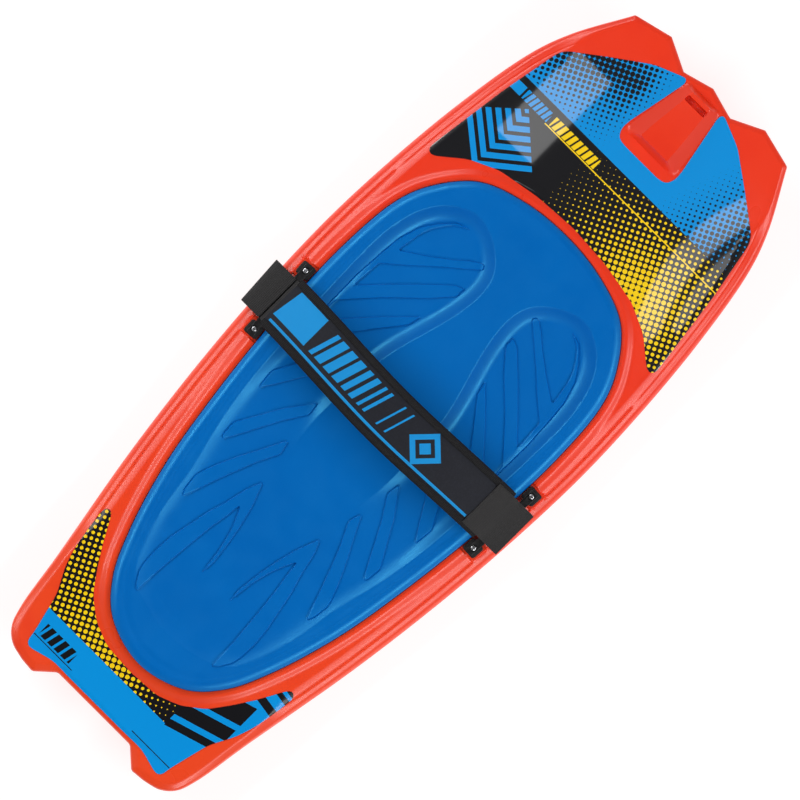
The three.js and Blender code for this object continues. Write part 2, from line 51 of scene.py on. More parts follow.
# ---------------------------------------------------------------- driving dimensions
GAP = 0.3  # between two mouldings that meet
WALL = 4
FILM, FILM_LIFT = 0.4, 0.35
NOSE_X, TAIL_X = 635, -635
FLAT_FRONT_X, FLAT_REAR_X = 150, -250
NOSE_LIFT, TAIL_LIFT = 72, 42
FLOOR_RISE = 34
PAD_EDGE_RISE = 51
COLLAR_RISE = 5
BAR_X, BAR_Y = -16.7, 222.4  # the middle of the left bracket
BAR_ANGLE = math.radians(3.5)
SEAT_Z = 46
SCREW_PITCH = 109.5
TAB_TOP = 54
STRAP_X, STRAP_BOW = -17.5, -7
WEB_WIDTH, SLEEVE_WIDTH, WEB = 76, 80, 1.8
APEX_Z, ARCH_RADIUS = 130, 411
ARCH_CENTRE_Z = APEX_Z - ARCH_RADIUS
SLEEVE_LEFT, SLEEVE_RIGHT = 217, -205
# Lower and upper faces of the strap's layers, as rises over its arch.
LINING, CORE = (-4.3, -3.1), (-2.8, -2.8 + WEB)
HOOK_TAPE, PILE_TAPE = (-6, -4.6), (-7.5, -6.3)
PULL_RISE, TAB_RISE = 5.6, -8.7  # the middles of the pull handle and the closure tab


# ---------------------------------------------------------------- plane geometry
def smooth(start, end, x):
    """0 before the start, 1 after the end and an S-curve between them."""
    t = np.clip((np.asarray(x, float) - start) / (end - start), 0, 1)
    return t * t * (3 - 2 * t)


def catmull(points, closed=False):
    """A centripetal Catmull-Rom curve through the points, with 12 steps to each span."""
    p = np.asarray(points, float)
    if closed:
        ends = np.vstack([p[-1:], p, p[:2]])
    else:
        ends = np.vstack([2 * p[:1] - p[1:2], p, 2 * p[-1:] - p[-2:-1]])
    t = np.linspace(0, 1, 12, endpoint=False)[:, None]
    spans = []
    for a, b, c, d in zip(ends, ends[1:], ends[2:], ends[3:]):
        before, here, after = (math.dist(*pair) ** 0.5 for pair in ((a, b), (b, c), (c, d)))
        leave = ((b - a) / before - (c - a) / (before + here) + (c - b) / here) * here
        arrive = ((c - b) / here - (d - b) / (here + after) + (d - c) / after) * here
        blend = (2 * t**3 - 3 * t**2 + 1) * b + (3 * t**2 - 2 * t**3) * c
        spans.append(blend + (t**3 - 2 * t**2 + t) * leave + (t**3 - t**2) * arrive)
    if not closed:
        spans.append(p[-1:])
    return np.vstack(spans)


def mirrored(half):
    """A whole outline from the half with y above 0, whose ends lie on the centre line."""
    half = np.asarray(half, float)
    return np.vstack([half, half[-2:0:-1] * (1, -1)])


def spaced(line, spacing, closed=True):
    """Points at an even spacing along a line."""
    line = np.vstack([line, line[:1]]) if closed else np.asarray(line, float)
    along = np.concatenate([[0], np.cumsum(np.hypot(*np.diff(line, axis=0).T))])
    count = max(3, int(round(along[-1] / spacing)))
    at = np.linspace(0, along[-1], count, endpoint=not closed)
    return np.column_stack([np.interp(at, along, line[:, k]) for k in (0, 1)])


def rounded(corners, radius):
    """A closed outline with each corner cut by a small curve."""
    corners = np.asarray(corners, float)
    out = []
    for a, b, c in zip(np.roll(corners, 1, 0), corners, np.roll(corners, -1, 0)):
        cut_in = min(radius, 0.45 * math.dist(a, b)) / math.dist(a, b)
        cut_out = min(radius, 0.45 * math.dist(b, c)) / math.dist(b, c)
        start, end = b + (a - b) * cut_in, b + (c - b) * cut_out
        for t in np.linspace(0, 1, 5):
            out.append((1 - t) ** 2 * start + 2 * t * (1 - t) * b + t * t * end)
    return np.array(out)


def distance(loop, xy):
    """How far each point is from a closed outline."""
    side = np.roll(loop, -1, 0) - loop
    length = np.maximum((side**2).sum(1), 1e-9)
    best = np.empty(len(xy))
    for start in range(0, len(xy), POINTS_AT_ONCE):
        some = slice(start, start + POINTS_AT_ONCE)
        offset = xy[some, None] - loop
        t = np.clip((offset * side).sum(2) / length, 0, 1)
        offset = offset - t[..., None] * side
        best[some] = np.sqrt((offset**2).sum(2).min(1))
    return best


def inside(loop, xy):
    """Whether each point lies within a closed outline."""
    ends = np.roll(loop, -1, 0)
    rise = ends[:, 1] - loop[:, 1]
    rise = np.where(rise == 0, 1e-12, rise)
    result = np.empty(len(xy), bool)
    for start in range(0, len(xy), POINTS_AT_ONCE):
        some = slice(start, start + POINTS_AT_ONCE)
        x, y = xy[some, :1], xy[some, 1:]
        between = (loop[:, 1] > y) != (ends[:, 1] > y)
        cross = loop[:, 0] + (y - loop[:, 1]) / rise * (ends[:, 0] - loop[:, 0])
        result[some] = (between & (x < cross)).sum(1) % 2 == 1
    return result


def depth_in(loop, xy):
    """Distance from an outline: positive inside it and negative outside."""
    return np.where(inside(loop, xy), 1, -1) * distance(loop, xy)


def inward(loop):
    """The unit normal at each point of an outline, pointing into it."""
    along = np.roll(loop, -1, 0) - np.roll(loop, 1, 0)
    along /= np.maximum(np.hypot(*along.T), 1e-9)[:, None]
    normal = np.column_stack([-along[:, 1], along[:, 0]])
    return normal if inside(loop, loop[:1] + normal[:1] * 0.5)[0] else -normal


def rings(loop, insets, spacing):
    """Points that follow an outline at each inset, left out where it turns too tightly."""
    base = spaced(loop, spacing)
    normal = inward(base)
    found = []
    for inset in insets:
        p = base + normal * inset
        depth = depth_in(loop, p)
        found.append(p[np.abs(depth - inset) < 0.04 * abs(inset) + 0.05])
    return np.vstack(found)


def hexagons(loop, spacing, margin):
    """A triangular grid of points inside an outline, clear of it by a margin."""
    low, high = loop.min(0), loop.max(0)
    row = spacing * math.sqrt(3) / 2
    x = np.arange(low[0], high[0], spacing)
    y = np.arange(low[1], high[1], row)
    gx, gy = np.meshgrid(x, y)
    gx = gx + (np.arange(len(y)) % 2)[:, None] * spacing / 2
    p = np.column_stack([gx.ravel(), gy.ravel()])
    return p[depth_in(loop, p) > margin]


def clear_of(points, loop, near, far):
    """The points that don't lie between two depths inside an outline."""
    depth = depth_in(loop, points)
    return points[(depth < near) | (depth > far)]


def unrolled(points, outline, width=7):
    """The plan with the steep edge of a moulding laid out flat, to triangulate it evenly."""
    normal = inward(outline)
    depth = distance(outline, points)
    flat = points.copy()
    for k in np.flatnonzero(depth < width):
        nearest = ((outline - points[k]) ** 2).sum(1).argmin()
        flat[k] -= normal[nearest] * width * (1 - depth[k] / width) ** 2
    return flat


def triangulated(loops, free, steep_edge=False):
    """Triangles over the first outline, with every outline's edges kept."""
    points = np.vstack([*loops, *free])
    flat = unrolled(points, loops[0]) if steep_edge else points
    edges, start = [], 0
    for loop in loops:
        n = len(loop)
        edges += [(start + k, start + (k + 1) % n) for k in range(n)]
        start += n
    cut = delaunay_2d_cdt([Vector(p) for p in flat.tolist()], edges, [], 1, 1e-4)
    xy = np.array([tuple(v) for v in cut[0]])
    for k, known in enumerate(cut[3]):
        if known:
            xy[k] = points[known[0]]
    return xy, np.array([tuple(f) for f in cut[2]])


# ---------------------------------------------------------------- outlines
BOARD_HALF = np.vstack([
    [(625, 0), (618.7, 23), (612.5, 46), (NOSE_X, 93), (628, 122)],
    catmull([
        (621, 151), (540, 196.5), (480, 218.5), (350, 241), (200, 254), (80, 256.5),
        (-100, 247), (-300, 224), (-500, 189), (-580, 175.7), (-610, 165), (-626, 147), (-633, 122),
    ]),
    [(TAIL_X, 99), (-611, 72), (-611, 36), (-611, 0)],
])
BOARD = spaced(mirrored(BOARD_HALF), 4)
PAD = spaced(catmull(mirrored([
    (334, 0), (326, 75), (301, 141), (250, 185), (200, 205.5), (100, 214.3), (-50, 208),
    (-200, 190.6), (-300, 172.5), (-400, 142), (-460, 113), (-501, 72), (-521, 0),
]), closed=True), 4)
NOSE_DECAL = rounded(mirrored([
    (348, 0), (343.5, 68), (332, 132), (312, 175), (281, 213), (280, 221), (287, 226),
    (416, 208), (506, 191), (517, 184), (552, 137), (590, 83), (605, 46), (608, 38), (603, 33),
    (508, 52), (494, 52), (484, 46), (481, 36), (481, 0),
]), 9)
TAIL_DECAL = rounded(mirrored([
    (-537.5, 0), (-534.5, 50), (-521, 84), (-498, 114), (-468, 136), (-438, 155), (-400, 176),
    (-395, 183), (-402, 190), (-438, 185), (-468, 179.5), (-497, 170), (-533, 151), (-593, 136),
    (-608, 134), (-613.5, 127), (-603, 88), (-604, 60), (-604, 0),
]), 9)

# Both knee wells and the shin floor that joins them behind the middle island.
WELLS = spaced(catmull(mirrored([
    (-228, 0), (-214, 44), (-202, 48), (-178, 56), (-146, 62), (-105, 67), (-66, 68), (22, 61),
    (57, 54), (100, 42), (143, 31), (187, 26), (219, 32), (243, 51), (262, 84), (265, 112),
    (252, 140), (230, 162), (193, 179), (143, 187), (78, 186), (22, 184), (-66, 177),
    (-137, 171), (-202, 160), (-271, 143), (-329, 134), (-378, 124), (-416, 108), (-446, 75),
    (-462, 0),
]), closed=True), 4)

# The grip ribs on the pad's left half: the wells' comb, the tail's chevron and the fingers.
COMB = [
    (-30, 169), (85, 171), (135, 168), (165, 165), (197, 155), (219, 140), (239, 121),
    (244, 100), (232, 122), (221, 131), (204, 142), (187, 148), (152, 154), (176, 118),
    (197, 90), (215, 69), (224, 54), (216, 48), (193, 75), (169, 103), (145, 129), (119, 160),
    (73, 163), (107, 131), (143, 95), (174, 62), (180, 47), (163, 49), (135, 73), (89, 121),
    (39, 166), (2, 167), (23, 146), (68, 105), (109, 64), (86, 69), (57, 92), (23, 118),
    (-22, 163),
]
CHEVRON = [
    (-451, 75), (-443, 83), (-427, 93), (-414, 96), (-386, 97), (-362, 95), (-321, 87),
    (-297, 82), (-271, 74), (-235, 66), (-214, 57), (-251, 43), (-284, 35), (-313, 30),
    (-345, 26), (-371, 28), (-329, 33), (-297, 41), (-271, 52), (-262, 57), (-284, 59),
    (-313, 64), (-362, 69), (-410, 73), (-446, 74),
]
FINGERS = [
    [(-311, 124), (-300, 129), (-275, 132), (-264, 129), (-243, 121), (-214, 108), (-186, 93),
     (-150, 75), (-150, 72), (-170, 67), (-202, 83), (-235, 96), (-267, 108), (-297, 118)],
    [(-214, 141), (-209, 145), (-185, 147), (-162, 134), (-121, 111), (-97, 93), (-80, 81),
     (-103, 78), (-137, 100), (-170, 117), (-202, 134)],
    [(-125, 155), (-123, 157), (-95, 160), (-64, 143), (-30, 118), (0, 92), (-14, 84),
     (-68, 120), (-97, 137)],
]
RIBS = [
    spaced(rounded(np.multiply(rib, (1, side)), 4), 2)
    for rib in (COMB, CHEVRON, *FINGERS)
    for side in (1, -1)
]


# ---------------------------------------------------------------- heights
def bottom_z(x):
    """The running surface: flat in the middle, with nose and tail rocker."""
    nose = np.maximum(0, (x - FLAT_FRONT_X) / (NOSE_X - FLAT_FRONT_X))
    tail = np.maximum(0, (x - FLAT_REAR_X) / (TAIL_X - FLAT_REAR_X))
    return NOSE_LIFT * nose**2 + TAIL_LIFT * tail**2


def taper(x, middle, nose, tail):
    """A size along the board that eases from the middle's to the nose's and the tail's."""
    front = (middle - nose) * smooth(330, NOSE_X, x)
    return middle - front - (middle - tail) * smooth(-430, TAIL_X, x)


def seam_z(x):
    """The parting line between the deck and the hull."""
    return bottom_z(x) + taper(x, 24, 14, 15)


def floor_z(x):
    """The floor of the recess that holds the pad."""
    return bottom_z(x) + FLOOR_RISE


def deck_rise(x):
    """The deck's height over the parting line, inside the rail."""
    return taper(x, 20, 9, 10)


# The rail's section: share of the deck's rise against the distance in from the outline.
RAIL_AT = (0, 0.6, 1.5, 3, 5, 7.5, 16, 24, 27, 29)
RAIL_SHARE = (0, 0.14, 0.27, 0.42, 0.55, 0.64, 0.80, 0.94, 0.985, 1)
RAIL_LINE = 16  # how far in a fine groove runs along the flank
NOSE_LINES = (8.5, 12.2, 16)  # and how far in three run beside the nose decal
LINE_HALF = 0.7  # half of a groove's width
LIP_NEAR, LIP_FAR = 6, 19  # where the raised lip round the pad starts and stops falling
SEAT_HALF = (13.5, 13.2)  # of the flat pedestal under each bracket tab, along and across
SEAT_WALL = 1.6

# The tow hook: a wedge that is tall and steep towards the rider and lower at the nose,
# where a slot crosses it.
HOOK_AT = (497, 506, 540, 580, 600, 607)
HOOK_RISE = (0, 20, 17, 14.5, 13, 0)
HOOK_HALF = (49, 47, 43, 36.5, 33, 32)
HOOK_TOP = (27, 26, 23.5, 19, 17, 17)
SLOT_DEPTH = 14
SLOT = rounded([(584.5, -19), (594, -19), (594, 19), (584.5, 19)], 3)
HOOK_BASE = np.array(
    [(497, -49), (540, -43), (580, -36.5), (607, -32), (607, 32), (580, 36.5), (540, 43), (497, 49)]
)
HOOK_CREST = np.array(
    [(506, -26), (540, -23.5), (580, -19), (600, -17), (600, 17), (580, 19), (540, 23.5), (506, 26)]
)


def tab_frame(xy, side, end):
    """Coordinates along and across a bracket, from the middle of one of its tabs."""
    dx, dy = xy[:, 0] - BAR_X, side * xy[:, 1] - BAR_Y
    along = dx * math.cos(BAR_ANGLE) + dy * math.sin(BAR_ANGLE)
    across = dy * math.cos(BAR_ANGLE) - dx * math.sin(BAR_ANGLE)
    return along - end * SCREW_PITCH / 2, across


def seat_share(xy):
    """1 on the four flat seats, falling to 0 over a short wall."""
    share = np.zeros(len(xy))
    for side in (-1, 1):
        for end in (-1, 1):
            along, across = tab_frame(xy, side, end)
            out = np.maximum(np.abs(along) - SEAT_HALF[0], np.abs(across) - SEAT_HALF[1])
            share = np.maximum(share, 1 - smooth(0, SEAT_WALL, out))
    return share


def hook_rise(xy):
    """The tow hook's height over the deck, slightly crowned along its middle."""
    x, y = xy[:, 0], np.abs(xy[:, 1])
    half, top = np.interp(x, HOOK_AT, HOOK_HALF), np.interp(x, HOOK_AT, HOOK_TOP)
    share = np.clip((half - y) / (half - top), 0, 1)
    rise = np.interp(x, HOOK_AT, HOOK_RISE, left=0, right=0) * share
    crown = 0.6 * np.clip(1 - y / top, 0, 1) * (rise > 1)
    return rise + crown


def groove_at(rail, place):
    """1 in the middle of a fine groove at a distance from the outline, and 0 beside it."""
    return np.exp(-(((rail - place) / LINE_HALF) ** 2))


def deck_z(xy):
    """The deck's upper surface, before the pad's recess is cut into it."""
    x = xy[:, 0]
    rail = distance(BOARD, xy)
    lip = distance(PAD, xy)
    # The rail rolls over in a shorter distance at the nose and at the tail.
    across = rail * (1 + 3 * smooth(500, 600, x) + 1.3 * (1 - smooth(-500, -400, x)))
    rise = deck_rise(x) * np.interp(across, RAIL_AT, RAIL_SHARE)
    collar = COLLAR_RISE * (1 - smooth(LIP_NEAR, LIP_FAR, lip)) * np.clip(rail / 24, 0, 1)
    flank = smooth(-440, -380, x) * (1 - smooth(222, 234, x))
    groove = 0.9 * groove_at(rail, RAIL_LINE) * flank
    nose = smooth(230, 250, x) * (1 - smooth(500, 560, x))
    lines = sum(0.45 * groove_at(rail, place) for place in NOSE_LINES) * nose
    z = seam_z(x) + GAP / 2 + rise + collar - groove - lines
    seat = seat_share(xy)
    z = z * (1 - seat) + SEAT_Z * seat
    z = z + hook_rise(xy)
    slot = smooth(0, 1.2, depth_in(SLOT, xy))
    return z - slot * SLOT_DEPTH


WELL_SLOPE = 24  # how far in a well's side reaches its floor
RIB_RISE = 3.0
# The rolled rim's height against the distance in, beside the shin channels and at the nose.
RIM_AT = (0, 1, 3, 7, 12, 16, 20, 25, 28, 60)
RIM_RISE = (0, 1.3, 3.2, 6, 7.5, 7.3, 6.3, 6.9, 7.3, 5)
RIM_PLAIN = (0, 1.3, 3.2, 6, 7.5, 7.6, 7.5, 7.4, 7.3, 5)


def pad_z(xy):
    """The knee pad's upper surface."""
    x = xy[:, 0]
    edge = depth_in(PAD, xy)
    valley = 1 - smooth(150, 260, x)
    rim = np.interp(edge, RIM_AT, RIM_RISE) * valley
    rim += np.interp(edge, RIM_AT, RIM_PLAIN) * (1 - valley)
    # The shin floor is shallow, and the wells deepen towards the knees.
    deep = 5 + 11 * smooth(-260, 120, x)
    slope = np.clip(depth_in(WELLS, xy) / WELL_SLOPE, 0, 1)
    centre = 1 - smooth(70, 110, np.abs(xy[:, 1]))
    sunk = (1 - smooth(-215, -10, x)) * smooth(-380, -300, x) * centre
    share = sunk + (1 - sunk) * np.sin(slope * math.pi / 2)
    z = bottom_z(x) + PAD_EDGE_RISE + rim - deep * share
    for rib in RIBS:
        near = (np.abs(xy - rib.mean(0)) < np.ptp(rib, axis=0) / 2 + 12).all(1)
        z[near] += RIB_RISE * smooth(-0.1, 1.25, depth_in(rib, xy[near]))
    return z


# ---------------------------------------------------------------- meshes
# How far in the rings of mesh points lie: closest together where a surface bends most.
RAIL_RINGS = (0.1, 0.3, 0.6, 1, 1.5, 2.2, 3, 4, 5, 6.2, 7.5, 9.5, 12, 14.6, 15.4, 16, 16.6, 17.4,
              20, 23, 25, 26.3, 27.2, 29, 32)
LIP_RINGS = (-1.5, -3, -5, -7, -9, -11, -13, -15, -17, -19.5, 1.2)
CHINE_RINGS = (0.1, 0.3, 0.6, 1, 1.5, 2.2, 3, 4.2, 5.6, 7.4, 10, 14, 19, 25, 32, 40, 48)
RIM_RINGS = (0.8, 2, 3.5, 5, 7, 9, 11, 12.8, 14.6, 16.6, 18.6, 20.5, 22.5, 24.5, 26.5)
WELL_RINGS = (-2.4, -0.8, 0.8, 1.8, 3.5, 6, 9, 12, 15, 18.5, 22, 25)
RIB_RINGS = (-2.2, -0.8, 0.6, 2.5)
RIB_CREST = 1.3
SEAT_RINGS = (-0.5, -1.1, -1.7)
SLOT_RINGS = (0.4, 0.8, 1.2)
FILM_RINGS = (1.2, 2.6, 4.4, 6.6, 9.2)


def mesh_object(name, verts, faces, sharp=40, merge=1e-6, smooth_faces=True):
    """A mesh from millimetres, with doubles merged and its normals pointing out."""
    mesh = bpy.data.meshes.new(name)
    verts = (np.asarray(verts, float) * MM).tolist()
    mesh.from_pydata(verts, [], [list(map(int, f)) for f in faces])
    bm = bmesh.new()
    bm.from_mesh(mesh)
    bmesh.ops.remove_doubles(bm, verts=bm.verts, dist=merge)
    bmesh.ops.dissolve_degenerate(bm, edges=bm.edges, dist=1e-7)
    bmesh.ops.recalc_face_normals(bm, faces=bm.faces)
    bm.to_mesh(mesh)
    bm.free()
    if smooth_faces:
        mesh.shade_smooth()
        mesh.set_sharp_from_angle(angle=math.radians(sharp))
    obj = bpy.data.objects.new(name, mesh)
    bpy.context.collection.objects.link(obj)
    return obj


def solid(name, xy, triangles, top, bottom, sharp):
    """A closed solid between two heights over the same triangles."""
    n = len(xy)
    verts = np.vstack([np.column_stack([xy, top]), np.column_stack([xy, bottom])])
    edges = np.vstack([triangles[:, [0, 1]], triangles[:, [1, 2]], triangles[:, [2, 0]]])
    known = set(map(tuple, edges.tolist()))
    rim = [(a, b) for a, b in known if (b, a) not in known]
    walls = [(b, a, a + n, b + n) for a, b in sorted(rim)]
    faces = [*triangles.tolist(), *(triangles[:, ::-1] + n).tolist(), *walls]
    return mesh_object(name, verts, faces, sharp)


def finish_piece(obj, body, slot, material, *nodes):
    """Gives a piece its material and its body, and hides the CAD nodes that it stands for."""
    obj.data.materials.clear()
    obj.data.materials.append(material)
    if nodes:
        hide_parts(*nodes)
    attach(obj, body)
    return obj


# ---------------------------------------------------------------- material nodes
class Field:
    """A number that varies over a surface. Arithmetic on it adds Math nodes."""

    def __init__(self, tree, socket):
        self.tree = tree
        self.socket = socket

    def math(self, operation, *others):
        node = self.tree.nodes.new("ShaderNodeMath")
        node.operation = operation
        for socket, value in zip(node.inputs, (self, *others)):
            if isinstance(value, Field):
                self.tree.links.new(value.socket, socket)
            else:
                socket.default_value = value
        return Field(self.tree, node.outputs[0])

    def __add__(self, other):
        return self.math("ADD", other)

    def __sub__(self, other):
        return self.math("SUBTRACT", other)

    def __mul__(self, other):
        return self.math("MULTIPLY", other)

    def above(self, other):
        return self.math("GREATER_THAN", other)

    def below(self, other):
        return self.math("LESS_THAN", other)

    def between(self, low, high):
        return self.above(low) * self.below(high)

    def either(self, other):
        return self.math("MAXIMUM", other)

    def ramp(self, low, high, out_low=0.0, out_high=1.0, smooth_ends=True):
        node = self.tree.nodes.new("ShaderNodeMapRange")
        node.interpolation_type = "SMOOTHSTEP" if smooth_ends else "LINEAR"
        self.tree.links.new(self.socket, node.inputs["Value"])
        node.inputs["From Min"].default_value = low
        node.inputs["From Max"].default_value = high
        node.inputs["To Min"].default_value = out_low
        node.inputs["To Max"].default_value = out_high
        return Field(self.tree, node.outputs["Result"])


def linear(rgb):
    """Linear colour from red, green and blue as a screen counts them, 0 to 255."""
    def channel(c):
        c = c / 255
        return c / 12.92 if c <= 0.04045 else ((c + 0.055) / 1.055) ** 2.4
    return (*map(channel, rgb), 1.0)


class Finish:
    """A material on one Principled shader, with the piece's own millimetres as fields."""

    def __init__(self, name, rgb, roughness, **sockets):
        self.material = bpy.data.materials.new(name)
        self.material.use_nodes = True
        self.material.diffuse_color = linear(rgb)
        self.tree = self.material.node_tree
        self.shader = self.tree.nodes["Principled BSDF"]
        self.shader.inputs["Base Color"].default_value = linear(rgb)
        self.shader.inputs["Roughness"].default_value = roughness
        for key, value in sockets.items():
            self.shader.inputs[key.replace("_", " ")].default_value = value
        self.place = self.tree.nodes.new("ShaderNodeTexCoord").outputs["Object"]
        split = self.tree.nodes.new("ShaderNodeSeparateXYZ")
        self.tree.links.new(self.place, split.inputs[0])
        self.x, self.y, self.z = (Field(self.tree, split.outputs[k]) * (1 / MM) for k in range(3))
        self.colour = linear(rgb)
        self.normal = None

    def noise(self, size, detail=2.0):
        """Noise from 0 to 1 whose blobs are about `size` millimetres across."""
        node = self.tree.nodes.new("ShaderNodeTexNoise")
        node.inputs["Scale"].default_value = 1 / (size * MM)
        node.inputs["Detail"].default_value = detail
        self.tree.links.new(self.place, node.inputs["Vector"])
        return Field(self.tree, node.outputs["Fac"])

    def paint(self, mask, rgb):
        """Lays a colour over what is there, where the mask is 1."""
        node = self.tree.nodes.new("ShaderNodeMix")
        node.data_type = "RGBA"
        under, over, result = node.inputs[6], node.inputs[7], node.outputs[2]
        self.tree.links.new(mask.socket, node.inputs["Factor"])
        if isinstance(self.colour, bpy.types.NodeSocket):
            self.tree.links.new(self.colour, under)
        else:
            under.default_value = self.colour
        over.default_value = linear(rgb)
        self.colour = result
        self.tree.links.new(result, self.shader.inputs["Base Color"])
        return self

    def rough(self, field):
        """Takes the roughness from a field."""
        self.tree.links.new(field.socket, self.shader.inputs["Roughness"])
        return self

    def bump(self, field, height):
        """Raises the surface by the field times `height` millimetres."""
        node = self.tree.nodes.new("ShaderNodeBump")
        node.inputs["Strength"].default_value = 1
        node.inputs["Distance"].default_value = height * MM
        self.tree.links.new(field.socket, node.inputs["Height"])
        if self.normal is not None:
            self.tree.links.new(self.normal, node.inputs["Normal"])
        self.normal = node.outputs[0]
        self.tree.links.new(self.normal, self.shader.inputs["Normal"])
        return self


def ripple(field, pitch):
    """A wave from 0 to 1 with one crest to each pitch, in millimetres."""
    return (field * (2 * math.pi / pitch)).math("SINE") * 0.5 + 0.5


# ---------------------------------------------------------------- materials
BLUE, BLACK, YELLOW = (0, 148, 226), (18, 18, 22), (255, 214, 20)
BLUE_FROM_X = 452  # where the nose decal's blue begins
TAIL_BLUE_TO_X, TAIL_BLUE_TO_Y = -554, -86  # where the tail decal's blue ends


def moulded_plastic(name, rgb, dark):
    """Rotomoulded polyethylene: slightly mottled, with painted light that makes it a little paler towards
    the tail.
    """
    f = Finish(name, rgb, 0.3, Specular_IOR_Level=0.4, Coat_Weight=0.06, Coat_Roughness=0.12)
    # Painted light: a paler orange laid on towards the tail, standing in for light falling from that end.
    f.paint(f.x.ramp(-560, 200, 0.75, 0, False), (246, 76, 30))
    f.paint(f.noise(60).ramp(0.42, 0.95, 0, 0.5), dark)
    f.rough(f.noise(45, 1).ramp(0, 1, 0.24, 0.38))
    f.bump(f.noise(1.3, 2), 0.02)
    return f.bump(f.noise(60, 1), 0.25).material


def pad_foam():
    """Moulded EVA foam: satin skin with fine pores and soft cloudy colour."""
    f = Finish("pad_foam", (0, 104, 190), 0.4, Specular_IOR_Level=0.95, Specular_Tint=(0.12, 0.72, 1, 1))
    f.paint(f.noise(110, 2).ramp(0.35, 0.7, 0, 0.3), (0, 92, 178))
    f.paint(f.noise(2.2, 2).ramp(0.6, 0.8, 0, 0.25), (20, 122, 205))
    f.rough(f.noise(30, 1).ramp(0.3, 0.7, 0.3, 0.39))
    f.bump(f.noise(0.9, 3), 0.09)
    return f.bump(f.noise(35, 1), 0.12).material


def halftone(f, pitch, radius):
    """1 inside the dots of a square lattice that is turned to the decal's slant."""
    turn = math.radians(26.6)
    u = f.x * (math.cos(turn) / pitch) + f.y * (math.sin(turn) / pitch)
    v = f.y * (math.cos(turn) / pitch) - f.x * (math.sin(turn) / pitch)
    du = (u.math("FRACT") - 0.5) * pitch
    dv = (v.math("FRACT") - 0.5) * pitch
    return (du * du + dv * dv).math("SQRT").below(radius)


def away(f, x, y):
    """Distance from a point of the plan, in millimetres."""
    return ((f.x - x) * (f.x - x) + (f.y - y) * (f.y - y)).math("SQRT")


def film(name, gloss):
    """Printed vinyl under a clear layer."""
    return Finish(name, BLACK, 0.3, Specular_IOR_Level=0.2, Coat_Weight=gloss, Coat_Roughness=0.025)


def nose_film():
    """Printed film: black behind, blue in front, with dots fading across both."""
    f = film("nose_film", 1.0)
    left, right = f.y.above(0), f.y.below(0)
    f.paint(f.x.above(BLUE_FROM_X), BLUE)

    # Black dots on the blue grow forwards and outwards on the left side.
    grow = (f.x + f.y * 0.35).ramp(465, 585, 0.3, 3.9, False) - f.x.ramp(555, 600, 0, 1.6, False)
    fade = f.y.ramp(40, 75, 0, 1, False)
    f.paint(halftone(f, 7.7, grow * fade) * f.x.above(BLUE_FROM_X + 4) * left, BLACK)
    # On the right they grow outwards until only blue dots are left on black.
    grow = (f.y * -1 - (f.x - 500) * 0.35).ramp(65, 210, 0, 5.1, False)
    f.paint(halftone(f, 7.7, grow) * f.x.above(BLUE_FROM_X) * right, BLACK)

    # Yellow dots on the black, largest in the middle of the right side.
    shrink = away(f, 336, -130).ramp(5, 205, 4.3, 0.15, False)
    f.paint(halftone(f, 8.25, shrink) * f.x.below(BLUE_FROM_X - 1) * f.y.below(58), YELLOW)
    f.paint(f.x.between(423.2, 425) * f.y.between(-211, 134), YELLOW)

    # Plain blocks, dashes and chevrons fill the rest of the black part.
    f.paint(f.x.between(426, 442) * f.y.between(186.5, 208), BLUE)
    f.paint(bars(f, 426, 442, 183, 134, 8.2, 5.6), BLUE)
    f.paint(bars(f, 426, 442, 128, 40, 9.7, 6.8), YELLOW)
    f.paint(chevrons(f, 362, 164, 60, 17.5, 10.5), BLUE)
    f.bump(f.noise(120, 1), 0.3)
    return f.material


def bars(f, x0, x1, y0, y1, pitch, width):
    """A row of short slanted dashes from y0 to y1."""
    slide = f.y + (f.x - x0) * 0.22
    stripe = ((slide * (1 / pitch)).math("FRACT") * pitch).below(width)
    return stripe * f.x.between(x0, x1) * f.y.between(min(y0, y1), max(y0, y1))


def chevrons(f, x, y, reach, pitch, width):
    """Nested arrow stripes that fill a round-cornered diamond about a point."""
    point = (f.x - x) + (f.y - y).math("ABSOLUTE") * -0.8
    stripe = ((point * (1 / pitch)).math("FRACT") * pitch).below(width)
    along = (f.x - x).math("ABSOLUTE") + (f.y - y).math("ABSOLUTE") * 0.9
    return stripe * along.below(reach)


def tail_film():
    """Printed film: blue at the transom and on the right, black with yellow dots elsewhere."""
    f = film("tail_film", 0.2)
    f.paint(f.x.below(TAIL_BLUE_TO_X).either(f.y.below(TAIL_BLUE_TO_Y)), BLUE)
    shrink = f.y.ramp(30, 185, 3.5, 2.5, False) * f.y.ramp(-90, 20, 0.2, 1)
    dark = f.x.above(TAIL_BLUE_TO_X) * f.y.above(TAIL_BLUE_TO_Y + 2)
    f.paint(halftone(f, 8.5, shrink) * dark, YELLOW)
    f.paint(f.x.between(-595, -593.6) * f.y.math("ABSOLUTE").between(60, 135), BLACK)
    f.paint(bars(f, -591, -571, 130, 70, 13, 9), BLACK)
    for start, end in ((-582, -570), (-561, -540), (-531, -497)):
        band = (f.x + f.y * 0.3).between(start, end)
        f.paint(band * f.y.between(-164, TAIL_BLUE_TO_Y), BLACK)
    lean = f.x - f.y * 0.154
    stripes = lean.between(-415, -403) + lean.between(-388, -380) + lean.above(-374)
    f.paint(stripes * f.y.below(-140), BLACK)
    f.bump(f.noise(120, 1), 0.3)
    return f.material


